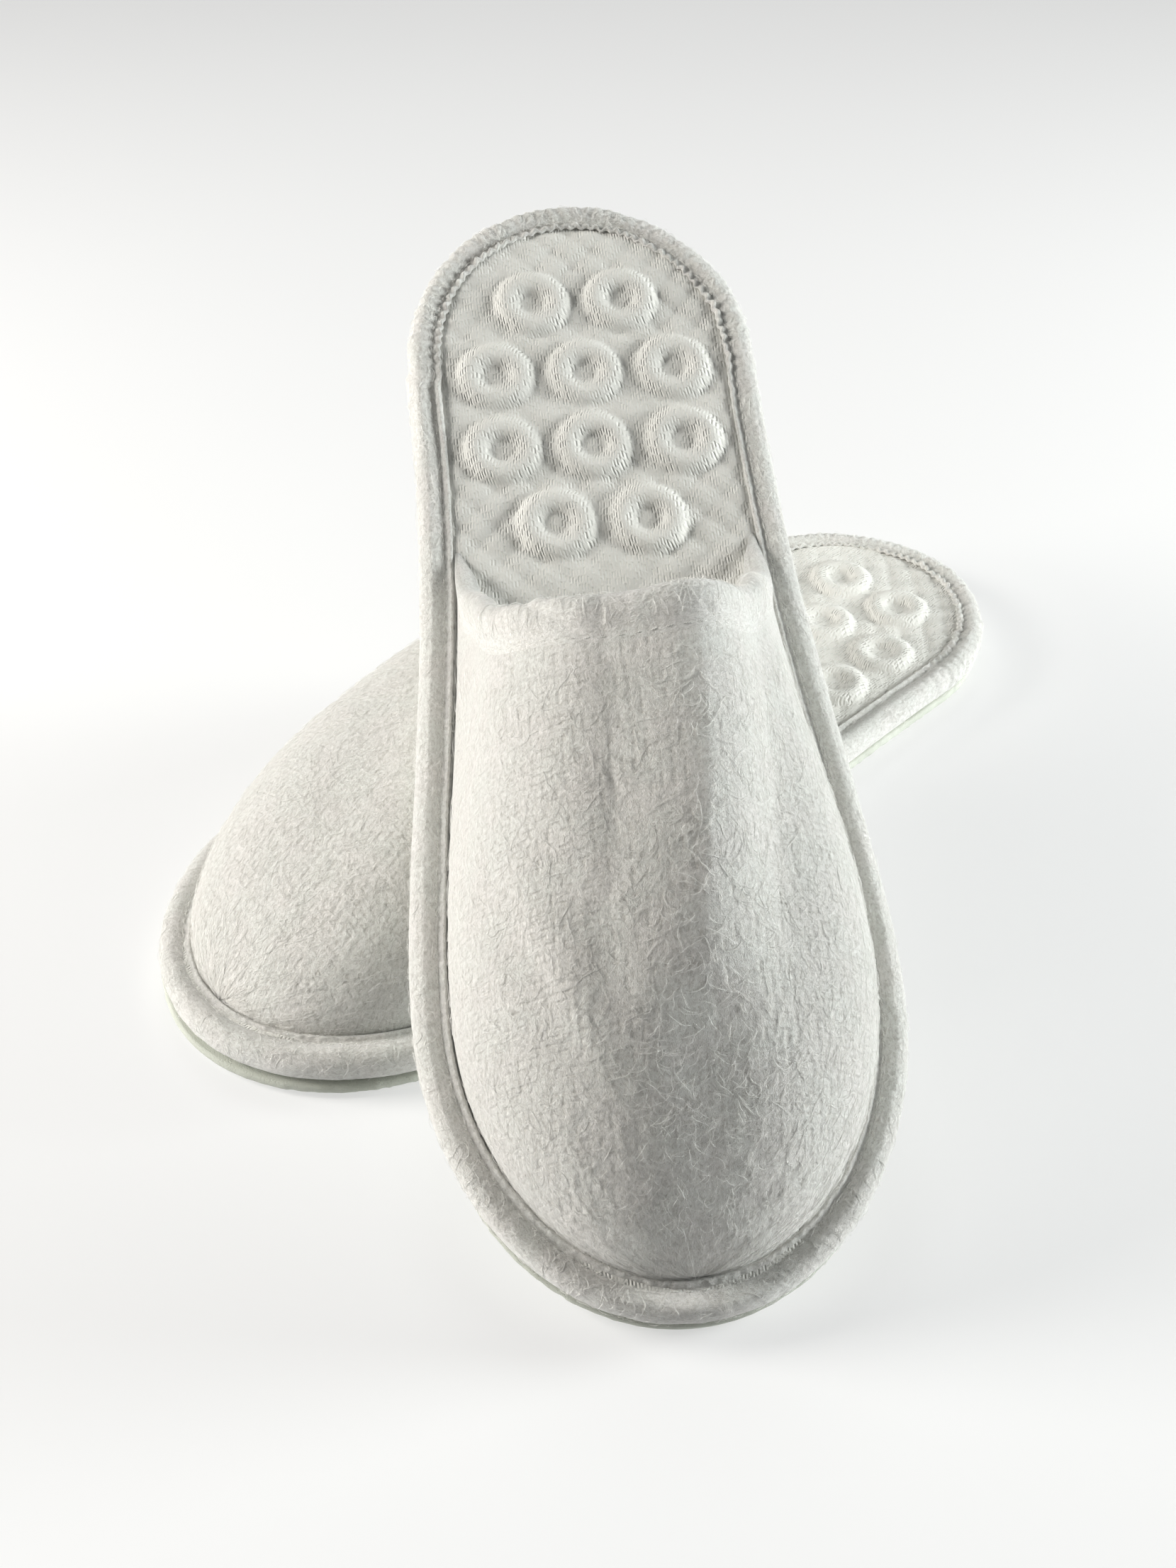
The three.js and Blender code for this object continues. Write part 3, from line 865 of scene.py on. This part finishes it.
def vamp_relief(slipper, base):
    """How far the cloth stands out of its smooth shape: creases, dents and soft waves."""
    x, y, z = base[..., 0], base[..., 1], base[..., 2]
    high = step(14, 45, z)
    waves = 0.4 * fractal_noise(x * 0.035, y * 0.03, 71, 2)
    waves = waves + 0.07 * fractal_noise(x * 0.35, y * 0.12, 73, 2)
    if slipper.side == "lower":
        drag = -0.9 * bump(x + 0.4 * y, 22, 10) * bump(y, 70, 45)
        return (waves + drag) * high
    crest = 3.0 + 5.5 * step(45, 125, y)
    off = x - crest
    fade = step(38, 95, y)
    fold = 3.0 * tent(off, 18, 0.4) - 5.0 * bump(off, 19, 10) - 0.9 * bump(off, -15, 9)
    drag = x + 0.36 * (y - 68)
    dents = -0.9 * bump(drag, -31, 3.6) * bump(y, 74, 20) - 0.4 * bump(drag, -17, 5) * bump(y, 74, 18)
    dents = dents + 0.3 * bump(drag, -25, 3.5) * bump(y, 70, 22) - 0.9 * bump(x, 4, 9) * bump(y, 48, 16)
    nick = -0.35 * bump(x + 11 + 0.25 * (y - 97), 0, 0.8) * bump(y, 97, 3.0)
    tuck = -0.6 * bump(x + 22 + 0.9 * (y - 136), 0, 1.1) * bump(y, 134, 7)
    return fold * fade * high + (dents + waves + nick) * high + tuck * step(50, 62, z)


def surface_normals(grid):
    """Unit normals of a grid of points, from central differences."""
    return unit(np.cross(np.gradient(grid, axis=1), np.gradient(grid, axis=0)))


def vamp_grid(slipper, across, along, setback):
    """The upper's outer face as a grid, rows from the opening to the toe, and its normals."""
    angle = np.linspace(-np.pi / 2, np.pi / 2, across)
    even = np.linspace(0, 1, along)
    share = 0.35 * np.sin(np.pi / 2 * even) + 0.65 * even
    angle, share = np.meshgrid(angle, share)
    base = vamp_base_point(angle, share, 0.0, setback)
    inner = vamp_base_point(angle, np.clip(share, 0, 0.9995), 1.0, setback)
    outward = base - inner
    outward[..., 1] = np.where(share > 0.97, outward[..., 1], np.minimum(outward[..., 1], 0) * 0.3)
    size = np.linalg.norm(outward, axis=-1, keepdims=True)
    outward = outward / np.maximum(size, 1e-6)
    settle = step(0, 0.06, 1 - share)
    grid = base + outward * (vamp_relief(slipper, base) * settle)[..., None]
    normals = surface_normals(grid)
    facing = np.sign(np.sum(normals * outward, axis=-1, keepdims=True))
    normals = normals * np.where(facing == 0, 1, facing)
    normals[-1] = normals[-2].mean(0)
    normals[:, 0] = (-1, 0, 0)
    normals[:, -1] = (1, 0, 0)
    return grid, normals


def rest_under_sole(slipper, points, clear):
    """On the flat slipper, presses cloth down to just under the leaning sole."""
    if slipper.side != "lower":
        return points
    sole = SLIPPERS["upper"]
    world = slipper.place(points)
    local = sole.local(world)
    inside = (local[..., 1] > 1) & (local[..., 1] < LENGTH - 1)
    inside &= np.abs(local[..., 0]) < half_width(np.clip(local[..., 1], 0, LENGTH), 0) + 3
    press = np.where(inside, np.maximum(local[..., 2] + clear, 0), 0)
    moved = world - press[..., None] * MM * sole.up
    return slipper.local(moved)


def vamp_layer(slipper, name, node, depths, size, setback, material):
    """One closed layer of the upper between two depths."""
    grid, normals = vamp_grid(slipper, *size, setback)
    thin = 1 - 0.75 * step(164, 178, grid[..., 1:2])
    faces = [rest_under_sole(slipper, grid - normals * (d * thin), 0.2 + d) for d in depths]
    for face in faces:
        face[..., 2] = np.maximum(face[..., 2], VAMP_BASE)
        face[:, 0, 2] = face[:, -1, 2] = VAMP_BASE
    loop = np.concatenate([faces[0], faces[1][:, ::-1]], 1)
    arc = np.linalg.norm(np.diff(loop, axis=1, append=loop[:, :1]), axis=-1).cumsum(1)
    arc = np.concatenate([np.zeros((len(arc), 1)), arc], 1)
    middle = arc[:, size[0] // 2][:, None]
    v = np.concatenate([loop[..., 1], loop[:, :1, 1]], 1) * 1.12
    geometry = loft(loop, caps="fold", u=arc - middle, v=v)
    obj = make_piece(name, slipper, geometry, material)
    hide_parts(f"{slipper.side}_{node}")
    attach(obj, slipper.front)
    return obj, faces[0], normals


def sample(grid, row, column):
    """Values between the grid's points."""
    r = np.clip(row, 0, grid.shape[0] - 1.001)
    c = np.clip(column, 0, grid.shape[1] - 1.001)
    i, j = r.astype(int), c.astype(int)
    a, b = (r - i)[..., None], (c - j)[..., None]
    low = grid[i, j] * (1 - b) + grid[i, j + 1] * b
    high = grid[i + 1, j] * (1 - b) + grid[i + 1, j + 1] * b
    return low * (1 - a) + high * a


def lay_fibres(slipper, grid, normals, area, count, lean, rng):
    """Loose curly fibres lying on a grid of cloth.

    area holds the first and last row, the first and last column, and the grid's pitch both ways.
    """
    rows, columns, pitch = area
    row, column = rng.uniform(*rows, count), rng.uniform(*columns, count)
    heading, curl = rng.normal(lean, 0.75, count), rng.normal(0, 0.3, count)
    stride = rng.uniform(0.35, 1.0, count)
    places = []
    for _ in range(FIBRE_JOINTS):
        places.append((row, column))
        row = row + stride * np.cos(heading) / pitch[0]
        column = column + stride * np.sin(heading) / pitch[1]
        heading = heading + curl + rng.normal(0, 0.25, count)
    row, column = np.array(places).transpose(1, 2, 0)
    t = np.linspace(0, 1, FIBRE_JOINTS)
    lift = 0.02 + rng.uniform(0.05, 0.55, count)[:, None] * np.sin(np.pi * t) ** 0.8
    up = sample(normals, row, column)
    paths = sample(grid, row, column) + up * lift[..., None]
    radii = rng.uniform(*FIBRE_RADIUS, count)[:, None] * (0.35 + 0.65 * np.sin(np.pi * t))
    points, faces, corners = tube_bundle(paths, up, radii, 3)
    points = rest_under_sole(slipper, points, 0.1)
    return points, faces, corners


def fibre_piece(slipper, name, geometry):
    return make_piece(name, slipper, geometry, "fibre")


def make_vamp_fibres(slipper, grid, normals):
    """Fibres on the vamp's outer cloth, lying along its ribs."""
    rng = np.random.default_rng(SEEDS["vamp_fibres"][slipper.side])
    rows, columns = grid.shape[:2]
    area = (14, rows - 4), (3, columns - 4), (0.62, 0.45)
    obj = fibre_piece(slipper, "vamp_fibres", lay_fibres(slipper, grid, normals, area, VAMP_FIBRES, 0.0, rng))
    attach(obj, slipper.front)
    return obj


def outward_normals(grid, centre):
    """Normals that point away from a centre line."""
    normals = surface_normals(grid)
    return normals * np.sign(np.sum(normals * (grid - centre), axis=-1, keepdims=True))


def make_vamp(slipper):
    """The closed toe's three layers: napped cloth, wadding and lining."""
    outer, grid, normals = vamp_layer(
        slipper, "vamp_cloth", "vamp_outer", OUTER_LAYER, OUTER_GRID, 2.0, "vamp"
    )
    fibres = make_vamp_fibres(slipper, grid, normals)
    wadding, _, _ = vamp_layer(
        slipper, "vamp_wadding", "vamp_foam", WADDING_LAYER, WADDING_GRID, 2.6, "wadding"
    )
    lining, grid, _ = vamp_layer(
        slipper, "lining_cloth", "vamp_lining", LINING_LAYER, LINING_GRID, 2.0, "lining"
    )


def hem_section():
    """(setback, depth) pairs of the turned hem: a soft fold of cloth over the layers' edge."""
    band = HEM_BAND
    lower = [(band, 0.02), (band - 1.5, -0.06), (band - 3.2, -0.3)]
    outer = lower + [(band - 5.4, -0.75), (1.8, -1.0), (0.2, -0.75)]
    over = [(-1.2, 0.3), (-1.8, 1.7), (-1.5, 3.2), (-0.3, 4.5)]
    inside = [(2.0, 5.0), (4.5, 4.9), (6.0, 4.6), (6.8, 4.2)]
    back = [(6.0, 4.0), (3.4, 4.0), (2.1, 3.9), (0.9, 1.9), (2.1, -0.03), (4.0, -0.02), (band - 1, -0.01)]
    return np.array(outer + over + inside + back)


def at_setback(values, travel, column, setback):
    """A grid's values at a distance from the opening, read down one of its columns."""
    return np.array([np.interp(setback, travel[:, column], values[:, column, k]) for k in range(3)])


def make_hem(slipper):
    """The opening's soft rolled hem, puckered along its run."""
    corners = hem_section()
    section = smooth_section(np.column_stack([corners, np.zeros(len(corners))]), 1)[:, :2]
    count = HEM_GRID[0]
    seed = SEEDS["hem"][slipper.side]
    edge_grid, edge_normals = vamp_grid(slipper, *HEM_GRID, 0.0)
    run = travelled(np.linalg.norm(np.diff(edge_grid[0], axis=0), axis=1))
    strides = np.linalg.norm(np.diff(edge_grid, axis=0), axis=2)
    travel = np.concatenate([np.zeros((1, count)), np.cumsum(strides, 0)])
    rows = []
    for i in range(count):
        ahead = unit(edge_grid[0, i] - edge_grid[2, i])
        plump = 1.04 + 0.08 * value_noise(run[i] / 6.0, 0.3, seed)
        plump = plump + 0.07 * value_noise(run[i] / 2.4, 0.3, seed + 1)
        ends = step(-4, 14, min(run[i], run[-1] - run[i]))
        row = []
        for setback, depth in section * (0.08 + 0.92 * ends):
            spot = at_setback(edge_grid, travel, i, max(setback, 0))
            normal = unit(at_setback(edge_normals, travel, i, max(setback, 0)))
            share = step(HEM_BAND, HEM_BAND - 6, setback) * step(4.6, 3.6, depth) * ends
            puffed = 1.9 + (depth - 1.9) * (1 + (plump - 1) * share)
            wave = 0.25 * value_noise(run[i] / 7.0, setback * 0.1, seed + 2) * step(2.5, -1.0, setback)
            reach = (max(-setback, 0) + wave) * (0.5 + 0.5 * ends)
            row.append(spot + ahead * reach - normal * puffed)
        rows.append(row)
    grid = np.array(rows)
    grid = rest_under_sole(slipper, grid, 0.2)
    grid[..., 2] = np.maximum(grid[..., 2], VAMP_BASE)
    around = travelled(np.hypot(*np.diff(section, axis=0).T))
    around = np.append(around, around[-1] + 1.0)
    u = np.broadcast_to(around, (count, len(around)))
    v = np.broadcast_to(run[:, None], (count, len(around)))
    geometry = loft(grid, caps="flat", u=u, v=v)
    obj = make_piece("opening_hem", slipper, geometry, "tape")
    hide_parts(slipper.side + "_opening_binding")
    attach(obj, slipper.front)
    make_hem_fibres(slipper, grid)
    make_hem_thread(slipper, edge_grid, edge_normals, travel, run)


def make_hem_fibres(slipper, grid):
    """Fibres on the hem's visible roll, lying across it."""
    first, last = 2, 24
    centre = grid[:, first:last].mean(1, keepdims=True)
    normals = outward_normals(grid, centre)
    area = (16, len(grid) - 24), (first + 1, last), (0.8, 0.8)
    rng = np.random.default_rng(SEEDS["hem_fibres"][slipper.side])
    geometry = lay_fibres(slipper, grid, normals, area, HEM_FIBRES, math.pi / 2, rng)
    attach(fibre_piece(slipper, "hem_fibres", geometry), slipper.front)


def make_hem_thread(slipper, grid, normals, travel, run):
    """Small stitches near the hem's lower edge."""
    setback, count = HEM_BAND - 1.5, len(run)
    path, ups = [], []
    for i in range(count):
        if min(run[i], run[-1] - run[i]) < 4:
            continue
        spot = at_setback(grid, travel, i, setback)
        up = at_setback(normals, travel, i, setback)
        path.append(spot + up * 0.12)
        ups.append(up)
    rng = np.random.default_rng(67)
    points, faces, corners = run_of_stitches(np.array(path), np.array(ups), 3.4, (2.0, 0.26), rng)
    points = rest_under_sole(slipper, points, 0.2)
    obj = make_piece("hem_stitches", slipper, (points, faces, corners), "thread")
    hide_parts(slipper.side + "_opening_thread")
    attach(obj, slipper.front)


# ---- the pair ----

SLIPPERS = {side: Slipper(side) for side in ("lower", "upper")}
for pair_member in SLIPPERS.values():
    make_outsole(pair_member)
    make_midsole(pair_member)
    make_insole(pair_member)
    make_binding(pair_member)
    make_seam_thread(pair_member)
    make_vamp(pair_member)
    make_hem(pair_member)


# ---- floor, light and camera ----


def make_floor():
    bpy.ops.mesh.primitive_plane_add(size=6, location=(0, 0, -0.0002))
    floor = bpy.context.object
    floor.name = "floor"
    floor.data.materials.append(floor_material("pale_floor"))


def make_area_light(name, turn, height, power, color):
    """A soft lamp. turn is its angle round from the viewer's side, to the right; height, above the floor."""
    turn, height = math.radians(turn), math.radians(height)
    flat = math.cos(height) * LAMP_DISTANCE
    rise = math.sin(height) * LAMP_DISTANCE + LAMP_BASE
    place = Vector((flat * math.sin(turn), -flat * math.cos(turn), rise))
    light = bpy.data.lights.new(name, "AREA")
    light.shape = "DISK"
    light.size = LAMP_SIZE
    light.energy = power
    light.color = color
    obj = bpy.data.objects.new(name, light)
    obj.location = place
    obj.rotation_euler = (LAMP_AIM - place).to_track_quat("-Z", "Y").to_euler()
    bpy.context.scene.collection.objects.link(obj)


def make_world(strength):
    world = bpy.data.worlds.new("studio")
    world.use_nodes = True
    world.node_tree.nodes["Background"].inputs[0].default_value = (1, 1, 1, 1)
    world.node_tree.nodes["Background"].inputs[1].default_value = strength
    bpy.context.scene.world = world


# lengths in metres
LAMP_DISTANCE = 1.0
LAMP_SIZE = 0.4
LAMP_BASE = 0.04
LAMP_AIM = Vector((0, 0, 0.05))
WARM = (1.0, 0.975, 0.93)
COOL = (0.965, 1.0, 0.985)
LAMPS = (
    # name, turn and height in degrees, power in watts, colour
    ("left_low", 266, 6, 8.2, WARM),
    ("left_high", 262, 32, 7.8, WARM),
    ("right_low", 86, 7, 9.6, COOL),
    ("right_high", 90, 18, 7.2, COOL),
    ("front_high", 0, 50, 0.3, COOL),
    ("back_high", 180, 60, 1.5, COOL),
)

# the camera's distance in metres; its target's place from the leaning toe, and its lens, in millimetres
CAMERA_DISTANCE = 0.4851
CAMERA_ELEVATION = math.radians(41.16)
CAMERA_TURN = math.radians(6.59)
CAMERA_TARGET_AHEAD = 173.2
CAMERA_TARGET_ASIDE = -2.5
CAMERA_LENS = 39.06


def make_camera():
    """Looks down at the pair from beyond the leaning slipper's toe."""
    toe = SLIPPERS["upper"].origin
    target = Vector((toe[0] + CAMERA_TARGET_ASIDE * MM, toe[1] + CAMERA_TARGET_AHEAD * MM, 0))
    flat = CAMERA_DISTANCE * math.cos(CAMERA_ELEVATION)
    rise = CAMERA_DISTANCE * math.sin(CAMERA_ELEVATION)
    away = Vector((-flat * math.sin(CAMERA_TURN), -flat * math.cos(CAMERA_TURN), rise))
    data = bpy.data.cameras.new("camera")
    data.lens = CAMERA_LENS
    data.clip_start = 0.01
    camera = bpy.data.objects.new("camera", data)
    camera.location = target + away
    camera.rotation_euler = (-away).to_track_quat("-Z", "Y").to_euler()
    bpy.context.scene.collection.objects.link(camera)
    bpy.context.scene.camera = camera


make_floor()
make_world(0.0)
for lamp in LAMPS:
    make_area_light(*lamp)
make_camera()
bpy.context.scene.view_settings.view_transform = "Standard"
